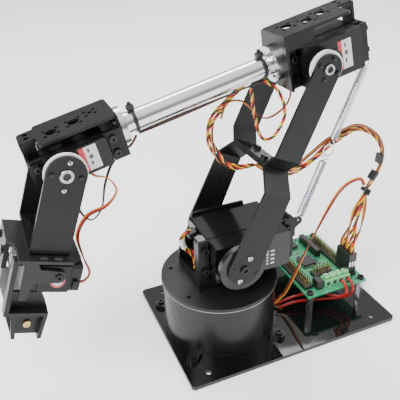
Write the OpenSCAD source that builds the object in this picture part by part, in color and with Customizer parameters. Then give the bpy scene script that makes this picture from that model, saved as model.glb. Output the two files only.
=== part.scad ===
// Desk-top robot arm: turntable base, two-link arm, wrist and two-finger gripper.
// Frame: origin on the turntable axis at the base plate's underside, +Z up,
// the arm reaches towards -X, the control board sits towards +X.

/* [Base] */
// Base plate length along X
plate_l = 176; // [160:1:210]
// Base plate width along Y
plate_w = 117; // [100:1:140]
// Base plate thickness
plate_t = 3; // [2:0.5:5]
// Distance from the turntable axis to the plate's front edge
plate_front = 48; // [46:1:60]
// Base can outer radius
can_r = 44; // [40:0.5:48]
// Turntable disc radius
disc_r = 45; // [41:0.5:49]
// Top of the turntable disc above the ground
disc_top = 49; // [44:1:56]

/* [Arm] */
// Shoulder axis above the ground
shoulder_z = 75; // [70:1:85]
// Shoulder axis behind the turntable axis
shoulder_x = 3; // [0:0.5:8]
// Shoulder axis to elbow axis
upper_len = 149; // [120:1:160]
// Elbow axis to wrist axis
fore_len = 179; // [150:1:200]
// Forearm tube outer radius
tube_r = 7; // [6:0.5:9]
// Thickness of the bent brackets
sheet_t = 2; // [1.5:0.5:3]

/* [Pose] */
// Upper arm lean from the vertical
lean = 25; // [0:1:60]
// Forearm drop below the horizontal
drop = 13; // [0:1:60]
// Hand tilt forward of straight down
tilt = 19; // [-20:1:60]

/* [Gripper] */
// Half of the gap between the open fingers
grip_half = 12; // [10:1:13]
// Wrist axis to finger tip
hand_len = 115; // [105:1:125]

/* [Output] */
// Which piece to draw

/* [Hidden] */
$fn = 64;

elbow_x = shoulder_x + upper_len * sin(lean);
elbow_z = shoulder_z + upper_len * cos(lean);
wrist_x = elbow_x - fore_len * cos(drop);
wrist_z = elbow_z - fore_len * sin(drop);

black = [0.10, 0.10, 0.11];
case_black = [0.14, 0.14, 0.15];
white = [0.92, 0.92, 0.90];
silver = [0.80, 0.81, 0.83];
light_grey = [0.66, 0.67, 0.68];
board_green = [0.10, 0.42, 0.28];
steel = [0.72, 0.72, 0.74];

disc_t = 3.2;
can_top = disc_top - disc_t - 0.6;
can_wall = 3;
foot_r = 51;                 // foot screws, distance from the turntable axis
foot_angles = [40, 140, 222, 310];

// control board
board_l = 56;                // along X
board_w = 76.2;              // along Y
board_t = 1.6;
board_x = 92;
board_y = 7;
board_z = 22;
board_hole_x = 24.5;         // half spacing of its holes
board_hole_y = 34.3;
head_x = 19.5;                // row of headers that carries the plugs, from the board's middle

// shoulder, all along Y
s_case_near = -27;           // output face of the shoulder servo
s_case_far = 22;
s_arm_out = 38;              // outer face of the lower bracket's arms
s_web = 23.5;                  // half width of the webs
s_arm_r = 12.5;
web_z = 74;                  // where the two brackets meet
// elbow
e_case_near = -21;
e_case_far = 23;
e_arm_out = 32;
e_arm_r = 10;
e_plate_z = 25;              // underside of the elbow bracket's top plate
// wrist
w_case_near = -17;
w_case_far = 18;
w_arm_out = 26.5;
w_arm_r = 12.5;
w_plate_z = 16;
hand_web = 54;
// forearm hubs
hub_r = 12.7;
hub_t = 5;
elbow_front = -21.5;           // front wall of the elbow bracket
wrist_rear = 42;             // rear wall of the wrist bracket, from the wrist axis
wrist_front = -18.9;         // front strap of the wrist bracket
tube_y = 0;
tube_z = 5;
tube_x0 = elbow_front - hub_t;
tube_x1 = -fore_len + wrist_rear + hub_t;
// gripper
g_z = -68;                   // gripper servo axis, below the wrist axis
grip_x = 2;                  // gripper parts behind their own zero
grip_y = -8;                 // middle of the finger gap, beside the gripper servo's axis
frame_far = 18;              // far edge of the gripper's frame
pinion_r = 7.7;
rack_t = 3;
strip_x = -23;               // front strips of the fingers
shaft_r = 3;
run_gap = 0.05;              // radial clearance of every turning shaft
idle_r = 3.95;

module at_shoulder() translate([shoulder_x, 0, shoulder_z]) rotate([0, lean, 0]) children();
module at_elbow() translate([elbow_x, 0, elbow_z]) rotate([0, -drop, 0]) children();
module at_wrist() translate([wrist_x, 0, wrist_z]) rotate([0, tilt, 0]) children();
module at_grip() at_wrist() translate([grip_x, 0, 0]) children();
module at_wrist_unit() at_elbow() translate([-fore_len, 0, 0]) children();

module bar_y(r, y0, y1) translate([0, y0, 0]) rotate([-90, 0, 0]) cylinder(r = r, h = y1 - y0);
module bar_x(r, x0, x1) translate([x0, 0, 0]) rotate([0, 90, 0]) cylinder(r = r, h = x1 - x0);
module bar_z(r, z0, z1) translate([0, 0, z0]) cylinder(r = r, h = z1 - z0);
module slab_y(y0, y1) translate([0, y1, 0]) rotate([90, 0, 0]) linear_extrude(y1 - y0) children();
module slab_x(x0, x1) translate([x0, 0, 0]) rotate([90, 0, 90]) linear_extrude(x1 - x0) children();
module slab_z(z0, z1) translate([0, 0, z0]) linear_extrude(z1 - z0) children();
module box(a, b) translate(a) cube(b - a);
// rectangle with cut corners, from corner a to corner b
module cut_rect(a, b, c) polygon([[a[0] + c, a[1]], [b[0] - c, a[1]], [b[0], a[1] + c],
    [b[0], b[1] - c], [b[0] - c, b[1]], [a[0] + c, b[1]], [a[0], b[1] - c], [a[0], a[1] + c]]);

// screw with its head above z = 0 and its shank below
module screw(len, r = 1.5, head_r = 2.8, head_h = 2) {
    difference() {
        cylinder(r = head_r, h = head_h);
        translate([0, 0, head_h - 1.1]) cylinder(r = head_r * 0.5, h = 2, $fn = 6);
    }
    translate([0, 0, -len]) cylinder(r = r, h = len + 0.2);
}
module hex_nut(r = 3.2, h = 2.4) cylinder(r = r, h = h, $fn = 6);

// Servo lying with its shaft along -Y through the origin: xa in front, xb behind,
// half thickness hz, output face near, back face far, ears at y = ear.
module servo_case(xa, xb, hz, near, far, ear, ear_l, hole_z, hole_r) {
    mid0 = ear + 1;
    mid1 = far - 7;
    difference() {
        union() {
            slab_y(near, mid0 - 0.4) cut_rect([-xa + 0.4, -hz + 0.4], [xb - 0.4, hz - 0.4], 1.2);
            slab_y(mid0 - 0.4, mid0) cut_rect([-xa + 1, -hz + 1], [xb - 1, hz - 1], 1);
            slab_y(mid0, mid1) cut_rect([-xa, -hz], [xb, hz], 0.8);
            slab_y(mid1, mid1 + 0.4) cut_rect([-xa + 1, -hz + 1], [xb - 1, hz - 1], 1);
            slab_y(mid1 + 0.4, far) cut_rect([-xa + 0.4, -hz + 0.4], [xb - 0.4, hz - 0.4], 1.6);
            // output boss and the idler gear's hump beside it
            bar_y(hz * 0.62, near - 1.6, near + 1);
            translate([hz * 0.75, 0, 0]) bar_y(hz * 0.42, near - 1.2, near + 1);
            // ears
            slab_y(ear - 2, ear + 0.6) difference() {
                cut_rect([-xa - ear_l, -hz + 0.6], [xb + ear_l, hz - 0.6], 1);
                for (x = [-xa - ear_l * 0.55, xb + ear_l * 0.55], z = [-hole_z, hole_z])
                    translate([x, z]) circle(hole_r);
            }
            // lead grommet
            translate([xb - 1, 0, -hz * 0.35]) slab_y(far - 6, far - 2)
                cut_rect([0, -3.5], [3.5, 3.5], 1);
        }
        bar_y(shaft_r + run_gap, near - 3, near + 6);
        for (x = [-xa + 3, xb - 3], z = [-hz + 3, hz - 3])
            translate([x, 0, z]) bar_y(1.1, far - 1.5, far + 1);
    }
}

// Round servo horn on the shaft, outer face at y = out, with four screw holes.
module horn_y(r, out, t, hub_r, hub_in, shaft_in, hole_ring) difference() {
    union() {
        bar_y(r, out, out + t);
        bar_y(hub_r, out + t - 0.1, hub_in);
        bar_y(shaft_r, hub_in - 0.1, shaft_in);
    }
    for (a = [0:90:270]) rotate([0, a, 0]) translate([hole_ring, 0, 0]) bar_y(1.3, out - 1, out + t + 1);
    bar_y(1.2, out - 1, out + t + 3);
}

// ------------------------------------------------------------ base
module base_plate() color(black) difference() {
    slab_z(0, plate_t)
        cut_rect([-plate_front, -plate_w / 2], [plate_l - plate_front, plate_w / 2], 2);
    for (x = [-plate_front + 16, plate_l - plate_front - 16], y = [-plate_w / 2 + 9, plate_w / 2 - 9])
        translate([x, y, 0]) bar_z(2.2, -1, plate_t + 1);
    for (a = foot_angles) rotate(a) translate([foot_r, 0, 0]) bar_z(1.6, -1, plate_t + 1);
    for (x = [-1, 1], y = [-1, 1])
        translate([board_x + x * board_hole_x, board_y + y * board_hole_y, 0]) bar_z(1.6, -1, plate_t + 1);
}

module base_can() color(black) difference() {
    union() {
        bar_z(can_r, plate_t, can_top);
        bar_z(can_r + 1.2, plate_t, plate_t + 2.5);
        for (a = foot_angles) rotate(a) slab_z(plate_t, plate_t + 3) union() {
            translate([foot_r, 0]) circle(4.6);
            translate([can_r - 4, -4.5]) square([foot_r - can_r + 4, 9]);
        }
    }
    bar_z(can_r - can_wall, plate_t - 1, can_top - 5);
    bar_z(can_r - 7, can_top - 6, can_top + 1);
    for (a = foot_angles) rotate(a) translate([foot_r, 0, 0]) bar_z(1.6, 0, plate_t + 8);
    // lead exit at the rear foot of the can
    box([can_r - 8, -16, plate_t - 1], [can_r + 6, -4, plate_t + 7]);
}

module can_screws() color(steel) for (a = foot_angles) rotate(a) translate([foot_r, 0, 0]) {
    translate([0, 0, plate_t + 3]) screw(plate_t + 2.5);
}

module base_servo() color(case_black) difference() {
    union() {
        slab_z(plate_t + 0.5, 36) cut_rect([-10, -10], [30.6, 10], 0.8);
        slab_z(36, 39.5) cut_rect([-9.6, -9.6], [30.2, 9.6], 1.2);
        slab_z(31, 33.5) difference() {
            cut_rect([-17, -9], [37.6, 9], 1);
            for (x = [-14, 34.6], y = [-5, 5]) translate([x, y]) circle(2.1);
        }
        bar_z(6.2, 39, 40.6);
        // posts that carry the ears from the base plate
        for (x = [-14, 34.6], y = [-5, 5]) translate([x, y, 0]) bar_z(2.9, plate_t, 31.2);
    }
    bar_z(shaft_r + run_gap, 34, 42);
}

module board() color(board_green) difference() {
    slab_z(board_z, board_z + board_t) translate([board_x, board_y])
        cut_rect([-board_l / 2, -board_w / 2], [board_l / 2, board_w / 2], 0.6);
    for (x = [-1, 1], y = [-1, 1])
        translate([board_x + x * board_hole_x, board_y + y * board_hole_y, 0]) bar_z(1.7, 20, 40);
}

module board_standoffs() color(steel) for (x = [-1, 1], y = [-1, 1])
    translate([board_x + x * board_hole_x, board_y + y * board_hole_y, 0]) difference() {
        translate([0, 0, plate_t]) cylinder(r = 3.2, h = board_z - plate_t, $fn = 6);
        bar_z(1.5, board_z - 8, board_z + 1);
    }

module board_screws() color(steel) for (x = [-1, 1], y = [-1, 1])
    translate([board_x + x * board_hole_x, board_y + y * board_hole_y, board_z + board_t])
        screw(7, 1.4, 2.8, 1.8);

// two rows of servo headers along Y, one short row along X and a socket
module board_headers() color(black) {
    top = board_z + board_t;
    translate([board_x - 22, board_y, 0]) difference() {
        box([-4, -29, top], [4, 17, top + 8.5]);
        for (y = [-26.7:2.54:16]) translate([0, y, 0]) box([-2.8, -0.35, top + 2.5], [2.8, 0.35, top + 9]);
    }
    translate([board_x + head_x, board_y, 0]) difference() {
        box([-4, -29.4, top], [4, 29, top + 8.5]);
        for (y = [0.5:2.54:27]) translate([0, y, 0]) box([-2.8, -0.35, top + 2.5], [2.8, 0.35, top + 9]);
    }
    translate([board_x - 1, board_y - 15.5, 0]) box([-9, -3.9, top], [9, 3.9, top + 8.5]);
    translate([board_x + 10, board_y + 19, 0]) box([-2.5, -14, top], [2.5, 14, top + 7]);
}

module board_terminal() color([0.55, 0.75, 0.55]) translate([board_x + 3, board_y - 29, board_z + board_t])
    difference() {
        slab_x(-12, 12) polygon([[-4, 0], [4, 0], [4, 6], [2.5, 10], [-2.5, 10], [-4, 6]]);
        for (x = [-9, -3, 3, 9]) translate([x, 0, 0]) bar_z(1.7, 6.5, 11);
        for (x = [-9, -3, 3, 9]) box([x - 1.8, -5, 1.2], [x + 1.8, -1, 5]);
    }

module board_chips() color(black) {
    top = board_z + board_t;
    // main chip on its socket, with its legs
    translate([board_x - 4, board_y + 2, 0]) {
        box([-6, -6, top + 0.6], [6, 6, top + 3]);
        for (y = [-5:2.54:5], s = [-1, 1]) box([s * 6 - 0.4, y, top], [s * 6 + 0.4, y + 0.8, top + 1.5]);
    }
    translate([board_x - 14, board_y - 29.5, 0]) box([-3, -4, top], [3, 4, top + 8]);
    translate([board_x - 4, board_y + 27, 0]) box([-5, -4, top], [5, 4, top + 3]);
    translate([board_x - 13.5, board_y + 31, top]) cylinder(r = 3, h = 7);
}

// servo plugs pushed on the headers
module board_plugs() color(black) {
    top = board_z + board_t + 8.5;
    for (k = [0:5]) translate([board_x + head_x, board_y - 27.5 + 2.9 * k, top]) difference() {
        box([-3.9, -1.25, 0], [3.9, 1.25, 13]);
        box([-1.3, -2, 8], [-0.9, 2, 14]);
        box([0.9, -2, 8], [1.3, 2, 14]);
    }
}

// ------------------------------------------------------------ turntable
// the shoulder servo's lead passes down here
module lead_hole() translate([-18, 4, 0]) bar_z(3.2, 40, 60);

module turntable_disc() color(black) difference() {
    bar_z(disc_r, disc_top - disc_t, disc_top);
    bar_z(2, 0, 60);
    for (a = [45:90:315]) rotate(a) translate([9, 0, 0]) bar_z(1.3, 40, 60);
    for (a = [150, 210]) rotate(a) translate([38, 0, 0]) bar_z(1.5, 40, 60);
    lead_hole();
    for (x = [-18, 20], y = [-11, 20]) translate([x + shoulder_x, y, 0]) bar_z(1.6, 40, 60);
}

module turntable_horn() color(white) difference() {
    union() {
        bar_z(12, 42, disc_top - disc_t);
        bar_z(4.5, 40.9, 42.1);
        bar_z(shaft_r, 36, 41.2);
    }
    for (a = [45:90:315]) rotate(a) translate([9, 0, 0]) bar_z(1.0, 30, 60);
    bar_z(1.35, 30, 60);
}

// horn screws through the disc, and the feet screws of the shoulder bracket
module turntable_screws() color(steel) {
    for (a = [45:90:315]) rotate(a) translate([9, 0, disc_top]) screw(5, 0.95, 2, 1.4);
    translate([0, 0, disc_top]) screw(10, 1.3, 2.6, 1.8);
    for (x = [-18, 20], y = [-11, 20])
        translate([shoulder_x + x, y, disc_top + sheet_t]) screw(6, 1.5, 2.8, 1.8);
}

// foot, two end walls with near flanges in front of the servo ears, and a far wall
module shoulder_bracket() color(black) translate([shoulder_x, 0, 0]) difference() {
    union() {
        slab_z(disc_top, disc_top + sheet_t) cut_rect([-26.5, -17], [34, 25], 2);
        slab_x(-26.5, -24.5) polygon([[-17, disc_top], [25, disc_top], [25, 54], [-5, 56], [-9, 62],
            [-9, shoulder_z + 15], [-17, shoulder_z + 15]]);
        slab_x(50.5, 52.5) polygon([[-17, 58], [14, 58], [14, shoulder_z + 17], [-17, shoulder_z + 17]]);
        slab_y(-17, -15) polygon([[-26.5, disc_top], [-18.5, disc_top], [-18.5, shoulder_z + 17],
            [-26.5, shoulder_z + 17]]);
        slab_y(-17, -15) polygon([[44.5, 58], [52.5, 58], [52.5, shoulder_z + 17], [44.5, shoulder_z + 17]]);
        slab_y(-17, -15) polygon([[-20, disc_top], [34, disc_top], [52.5, 58], [-20, 58]]);
        // far wall that carries the idler
        slab_y(23, 25) polygon([[-26.5, disc_top], [34, disc_top], [34, 70], [30, shoulder_z + 17],
            [-14, shoulder_z + 17], [-18, 80], [-26.5, 62]]);
    }
    translate([0, 0, shoulder_z]) bar_y(idle_r + run_gap, 20, 30);
    for (x = [-18, 20], y = [-11, 20]) translate([x, y, 0]) bar_z(1.6, 40, 60);
    for (x = [-21.3, 47.3], z = [-9, 9]) translate([x, 0, shoulder_z + z]) bar_y(1.9, -20, -10);
    translate([-shoulder_x, 0, 0]) {
        bar_z(6.5, 40, 54);
        for (a = [45:90:315]) rotate(a) translate([9, 0, 40]) cylinder(r = 2.4, h = 14);
        lead_hole();
    }
}

module shoulder_servo() color(case_black) translate([shoulder_x, 0, shoulder_z])
    servo_case(18, 44, 15, s_case_near, s_case_far, -12.4, 6, 9, 1.9);

module shoulder_servo_screws() color(steel) translate([shoulder_x, 0, shoulder_z])
    for (x = [-21.3, 47.3], z = [-9, 9]) translate([x, -17, z]) rotate([90, 0, 0]) screw(8, 1.5, 3, 2.2);

// eye on the rear end wall for the lower spring
module spring_anchor() color(black) difference() {
    union() {
        translate([shoulder_x, 0, 0]) slab_x(52.5, 54) polygon([[-17, 76], [-8, 76], [-8, 91], [-17, 91]]);
        translate([0, spring_y, 0]) slab_y(-1, 1) union() {
            polygon([[shoulder_x + 53.5, 78], [low_hook[0] + 1, low_hook[1] - 3],
                [low_hook[0] - 1, low_hook[1] + 3], [shoulder_x + 53.5, 89]]);
            translate(low_hook) circle(3.2);
        }
    }
    translate([low_hook[0], spring_y, low_hook[1]]) bar_y(1.4, -3, 3);
}

// ------------------------------------------------------------ upper arm
module shoulder_horn() color(black) at_shoulder() difference() {
    union() {
        bar_y(18, -35.9, -31.6);
        bar_y(10, -31.7, -28.9);
        bar_y(shaft_r, -29, -22.5);
    }
    for (a = [0:90:270]) rotate([0, a, 0]) translate([9.5, 0, 0]) bar_y(1.3, -39, -33);
    bar_y(1.3, -39, -29);
}

module shoulder_idler() color(silver) at_shoulder() {
    bar_y(idle_r, 22.3, 38.6);
    bar_y(9, 25.4, 35.9);
}

// arm outline seen from the side: round eye at the axis, tapering to the web
module arm_outline(r, l, w) union() {
    circle(r);
    polygon([[-r + 0.1, 0], [r - 0.1, 0], [w, l], [-w, l]]);
}

module lower_bracket() color(black) at_shoulder() difference() {
    intersection() {
        slab_x(-30, 30) polygon([[-s_arm_out, -15], [-s_arm_out, web_z - 14.5], [-s_web, web_z],
            [s_web, web_z], [s_arm_out, web_z - 14.5], [s_arm_out, -15], [s_arm_out - 2, -15],
            [s_arm_out - 2, web_z - 15.3], [s_web - 0.8, web_z - 2], [-s_web + 0.8, web_z - 2],
            [-s_arm_out + 2, web_z - 15.3], [-s_arm_out + 2, -15]]);
        slab_y(-50, 50) arm_outline(s_arm_r, web_z + 1, 10.5);
    }
    for (a = [0:90:270]) rotate([0, a, 0]) translate([9.5, 0, 0]) bar_y(1.5, -45, -35);
    bar_y(2.2, -45, -35);
    bar_y(4, 35, 45);
    web_holes();
}

module web_holes() for (x = [-4.5, 4.5], y = [-12, 0, 12]) translate([x, y, 0]) bar_z(1.5, 60, 80);

module upper_bracket() color(black) at_shoulder() difference() {
    intersection() {
        slab_x(-30, 30) polygon([[-e_arm_out, 162], [-e_arm_out, web_z + 9], [-s_web, web_z],
            [s_web, web_z], [e_arm_out, web_z + 9], [e_arm_out, 162], [e_arm_out - 2, 162],
            [e_arm_out - 2, web_z + 9.8], [s_web - 0.8, web_z + 2], [-s_web + 0.8, web_z + 2],
            [-e_arm_out + 2, web_z + 9.8], [-e_arm_out + 2, 162]]);
        translate([0, 0, upper_len]) slab_y(-50, 50) rotate(180) arm_outline(e_arm_r, web_z + 2, 10.5);
    }
    translate([0, 0, upper_len]) {
        for (a = [0:90:270]) rotate([0, a, 0]) translate([7.4, 0, 0]) bar_y(1.3, -45, -30);
        bar_y(2, -45, -30);
        bar_y(4, 30, 45);
    }
    web_holes();
}

module web_screws() color(steel) at_shoulder()
    for (p = [[-4.5, -12], [4.5, -12], [-4.5, 12], [4.5, 12]]) translate([p[0], p[1], web_z]) {
        translate([0, 0, -2]) rotate([180, 0, 0]) screw(6, 1.45, 2.8, 1.8);
        translate([0, 0, 2]) hex_nut(3, 2.2);
    }

module hub_set(ring, out, small, big, big_h) {
    for (a = [0:90:270]) rotate([0, a, 0]) translate([ring, out, 0]) rotate([90, 0, 0])
        screw(4, 1.2, small, 1.4);
    translate([0, out, 0]) rotate([90, 0, 0]) difference() {
        union() {
            cylinder(r = big, h = big_h);
            translate([0, 0, -6]) cylinder(r = 1.15, h = 6.1);
        }
        translate([0, 0, 0.6]) cylinder(r = big * 0.55, h = big_h, $fn = 6);
    }
}

module elbow_horn() color(white) at_shoulder() translate([0, 0, upper_len])
    horn_y(12, -29.9, 2.6, 5, -22.9, -17, 7.4);

module elbow_idler() color(silver) at_shoulder() translate([0, 0, upper_len]) {
    bar_y(idle_r, 24, 32.6);
    bar_y(7, 27.4, 29.9);
}

// the screws that hold both arms on their servo horns
module arm_hub_screws() color(steel) at_shoulder() {
    hub_set(9.5, -s_arm_out, 2.4, 3.4, 2);
    translate([0, 0, upper_len]) hub_set(7.4, -e_arm_out, 2, 3.2, 2);
}

// ------------------------------------------------------------ forearm
// hole with four small ones around it, through the top plate
module hole_group(x, y, r, ring) translate([x, y, 0]) {
    bar_z(r, 0, 40);
    for (a = [45:90:315]) rotate(a) translate([ring, 0, 0]) bar_z(1.2, 0, 40);
}

module elbow_bracket() color(black) at_elbow() difference() {
    union() {
        // top plate with its rear strap
        slab_z(e_plate_z, e_plate_z + sheet_t) union() {
            cut_rect([elbow_front, -19], [30, 10], 1.5);
            cut_rect([24, -2], [44.5, 10], 2);
        }
        // front wall for the tube hub
        slab_x(elbow_front, elbow_front + 2)
            polygon([[-19, -12], [10, -12], [14, -13], [27, -13], [27, 4], [14, 12], [11, 26], [-19, 26]]);
        // rear wall
        slab_x(42.5, 44.5) polygon([[-14, -15], [10, -15], [10, 26], [-2, 26], [-2, 13], [-14, 13]]);
        // near flanges in front of the ears
        slab_y(-14, -12) polygon([[elbow_front, -12], [-11.5, -12], [-11.5, 14], [elbow_front, 26]]);
        slab_y(-14, -12) polygon([[37, -15], [44.5, -15], [44.5, 13], [37, 13]]);
        // lip along the top plate's near edge
        slab_y(-19, -17) polygon([[elbow_front, 16], [-4, 16], [1, 20], [1, 27], [elbow_front, 27]]);
        // far wall with the idler hole
        slab_y(25, 27) polygon([[elbow_front, -13], [12, -13], [16, 0], [10, 9], [-8, 9], [elbow_front, 4]]);
    }
    bar_y(idle_r + run_gap, 20, 30);
    hole_group(-10, -3, 3.8, 6);
    hole_group(4, -6, 3.8, 6);
    hole_group(17, -2, 3.8, 6);
    for (z = [-8, 8]) translate([-14.3, 0, z]) bar_y(1.7, -20, -10);
    for (y = [1, 6.5]) translate([35, y, 0]) bar_z(1.5, 15, 30);
    for (z = [-8, 8]) translate([0, -10, z]) bar_x(1.5, 38, 46);
    translate([0, tube_y, tube_z]) for (a = [45:90:315]) rotate([a, 0, 0])
        translate([0, 9, 0]) bar_x(1.4, -25, -15);
}

module elbow_servo() color(case_black) at_elbow()
    servo_case(11, 36, 15, e_case_near, e_case_far, -9.4, 6, 8, 1.7);

// ear screws of the elbow servo and the wrist servo
module forearm_servo_screws() color(steel) {
    at_elbow() for (z = [-8, 8]) {
        translate([-14.3, -14, z]) rotate([90, 0, 0]) screw(8, 1.4, 2.8, 2);
        translate([44.5, -10, z]) rotate([0, 90, 0]) screw(1.8, 1.4, 2.8, 2);
    }
    at_wrist_unit() for (x = [-14, 34.6], z = [-5, 5])
        translate([x, -13, z]) rotate([90, 0, 0]) screw(7, 1.4, 2.4, 2);
}

// the two flanged hubs that hold the tube
module tube_hub(x0, s) translate([x0, tube_y, tube_z]) rotate([0, s > 0 ? 0 : 180, 0]) difference() {
    union() {
        bar_x(hub_r, 0, 4);
        bar_x(6.85, 3.9, hub_t);
        bar_x(tube_r - 1.05, hub_t - 0.1, 18);
    }
    for (a = [45:90:315]) rotate([a, 0, 0]) translate([0, 9, 0]) bar_x(1.4, -1, 6);
    bar_x(4, -1, 20);
}
module tube_hubs() color(silver) at_elbow() {
    tube_hub(elbow_front, -1);
    tube_hub(-fore_len + wrist_rear, 1);
}

module forearm_tube() color(silver) at_elbow() translate([0, tube_y, tube_z]) difference() {
    bar_x(tube_r, tube_x1, tube_x0);
    bar_x(tube_r - 1, tube_x1 - 1, tube_x0 + 1);
}

module hub_screws() color(steel) at_elbow() translate([0, tube_y, tube_z])
    for (a = [45:90:315]) rotate([a, 0, 0]) translate([0, 9, 0]) {
        translate([elbow_front - 4, 0, 0]) rotate([0, -90, 0]) screw(7, 1.35, 1.8, 1);
        translate([-fore_len + wrist_rear + 4, 0, 0]) rotate([0, 90, 0]) screw(7, 1.35, 1.8, 1);
    }

module wrist_bracket() color(black) at_wrist_unit() difference() {
    union() {
        slab_z(w_plate_z, w_plate_z + sheet_t) union() {
            cut_rect([-8, -11], [wrist_rear, 22], 1.5);
            cut_rect([wrist_front, 2], [-4, 18], 2);
        }
        slab_x(wrist_rear - 2, wrist_rear) polygon([[-13, -10], [22, -10], [22, 17], [-11, 17], [-13, 10]]);
        // front strap bent down to the front ear
        slab_x(wrist_front, wrist_front + 1.7)
            polygon([[2, 17], [18, 17], [12, -9], [-13, -9], [-13, 8], [2, 10]]);
        slab_y(-13, -11) polygon([[wrist_front, -9], [-12.5, -9], [-12.5, 8], [wrist_front, 8]]);
        slab_y(2, 4) polygon([[wrist_front, -9], [-10.2, -9], [-10.2, 12], [-8, 17], [wrist_front, 17]]);
        slab_y(-13, -11) polygon([[31.5, -10], [wrist_rear, -10], [wrist_rear, 10], [31.5, 10]]);
        slab_y(20, 22) polygon([[-8, -9], [10, -10], [wrist_rear, -10], [wrist_rear, 17], [-8, 17]]);
    }
    bar_y(idle_r + run_gap, 18, 24);
    hole_group(2, 2, 3.8, 6);
    hole_group(17, 4, 3.8, 6);
    hole_group(29, 8, 1.6, 4.6);
    for (y = [7, 13]) translate([-13.3, y, 0]) bar_z(1.9, 10, 22);
    for (x = [-14, 34.6], z = [-5, 5]) translate([x, 0, z]) bar_y(1.6, -20, -8);
    translate([0, tube_y, tube_z]) for (a = [45:90:315]) rotate([a, 0, 0])
        translate([0, 9, 0]) bar_x(1.4, 35, 45);
}

module wrist_servo() color(case_black) at_wrist_unit()
    servo_case(10, 30.6, 10, w_case_near, w_case_far, -8.4, 7, 5, 2.1);

// cable ties round the tube at both ends
module tube_ties() color(black) at_elbow() translate([0, tube_y, tube_z])
    for (x = [tube_x0 - 5, tube_x1 + 6]) translate([x, 0, 0]) {
        difference() {
            bar_x(tube_r + 1.1, -1.8, 1.8);
            bar_x(tube_r + 0.05, -3, 3);
        }
        box([-2.6, -2.6, tube_r + 0.9], [2.6, 2.6, tube_r + 4.2]);
        translate([0, -1.2, 0]) box([-1.6, 0, tube_r + 4], [1.6, 1.4, tube_r + 9]);
    }

// ------------------------------------------------------------ hand
module wrist_horn() color(white) at_wrist() horn_y(13.4, -24.4, 2.6, 5, -18.9, -13, 9);

module wrist_idler() color(silver) at_wrist() {
    bar_y(idle_r, 18.6, 27);
    bar_y(7, 22.3, 24.4);
}

module hand_bracket() color(black) at_wrist() difference() {
    intersection() {
        slab_x(-30, 30) polygon([[-w_arm_out, 15], [-w_arm_out, -hand_web + 1.5],
            [-w_arm_out + 1.5, -hand_web], [w_arm_out - 1.5, -hand_web],
            [w_arm_out, -hand_web + 1.5], [w_arm_out, 15], [w_arm_out - 2, 15],
            [w_arm_out - 2, -hand_web + 2], [-w_arm_out + 2, -hand_web + 2], [-w_arm_out + 2, 15]]);
        slab_y(-50, 50) union() {
            circle(w_arm_r);
            translate([-w_arm_r + 0.1, -hand_web - 1]) square([w_arm_r * 2 - 0.2, hand_web + 1]);
        }
    }
    for (a = [0:90:270]) rotate([0, a, 0]) translate([9, 0, 0]) bar_y(1.3, -45, -20);
    bar_y(2, -45, -20);
    bar_y(4, 20, 45);
    for (x = [-6, 6], y = [-12, 0, 12]) translate([x, y, 0]) bar_z(1.6, -60, -50);
}

module wrist_hub_screws() color(steel) at_wrist() hub_set(9, -w_arm_out, 2.2, 4.3, 1.6);

module gripper_plate() color(light_grey) at_wrist() difference() {
    slab_z(-hand_web - 2, -hand_web) polygon([[grip_x - 12, -33], [14, -33], [20, -27], [20, 12], [14, 18],
        [grip_x - 12, 18]]);
    for (x = [-6, 6], y = [-12, 12]) translate([x, y, 0]) bar_z(1.6, -62, -50);
    for (x = [-5, 4]) translate([x, -29.5, 0]) {
        bar_z(1.6, -62, -50);
        box([0, -1.6, -62], [3, 1.6, -50]);
        translate([3, 0, 0]) bar_z(1.6, -62, -50);
    }
}

eye_x = 5;
eye_z = g_z + 3;
frame_screws = [-7, 13];
// front plate, top flange, far post and the near strap with its eye
module gripper_frame() color([0.30, 0.30, 0.31]) at_grip() difference() {
    union() {
        slab_z(-hand_web - 2, -hand_web)
            polygon([[-21, -33], [-12, -33], [-12, frame_far], [-26.4, frame_far], [-26.4, -10], [-21, -13]]);
        slab_x(-26.4, -23.4)
            polygon([[-10, g_z - 6], [frame_far, g_z - 6], [frame_far, -55], [-10, -55]]);
        slab_y(frame_far - 2, frame_far) polygon([[-26, g_z - 6], [-13, g_z - 6], [-12, -55], [-26, -55]]);
        slab_y(-33, -31) union() {
            polygon([[-17, g_z - 14], [-12.5, g_z - 14], [-10, g_z - 2], [eye_x, eye_z - 4], [eye_x, eye_z + 4],
                [-7, eye_z + 5], [-9, -56], [-12, -56], [-12, -55], [-17, -55]]);
            translate([eye_x, eye_z]) circle(4.05);
        }
    }
    translate([eye_x, 0, eye_z]) bar_y(1.6, -36, -30);
    translate([0, 0, g_z]) bar_x(3, -30, -20);
    for (y = frame_screws) translate([0, y, g_z + 6]) bar_x(1.6, -30, -20);
}

module gripper_servo() color(case_black) at_grip() translate([0, 0, g_z]) difference() {
    union() {
        slab_x(-16, -7) cut_rect([-30.2, -9.6], [9.6, 9.6], 1.2);
        slab_x(-7, -6.6) cut_rect([-29.6, -9], [9, 9], 1);
        slab_x(-6.6, 13) cut_rect([-30.6, -10], [10, 10], 0.8);
        slab_x(13, 13.4) cut_rect([-29.6, -9], [9, 9], 1);
        slab_x(13.4, 20) cut_rect([-30.2, -9.6], [9.6, 9.6], 1.6);
        bar_x(6, -16.8, -15);
        slab_x(15, 18) translate([-32.4, -6.5]) square([3, 6]);
    }
    bar_x(shaft_r + run_gap, -20, -10);
    for (y = [-27.5, 7], z = [-7, 7]) translate([0, y, z]) bar_x(1.1, 18.6, 21);
}

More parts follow.
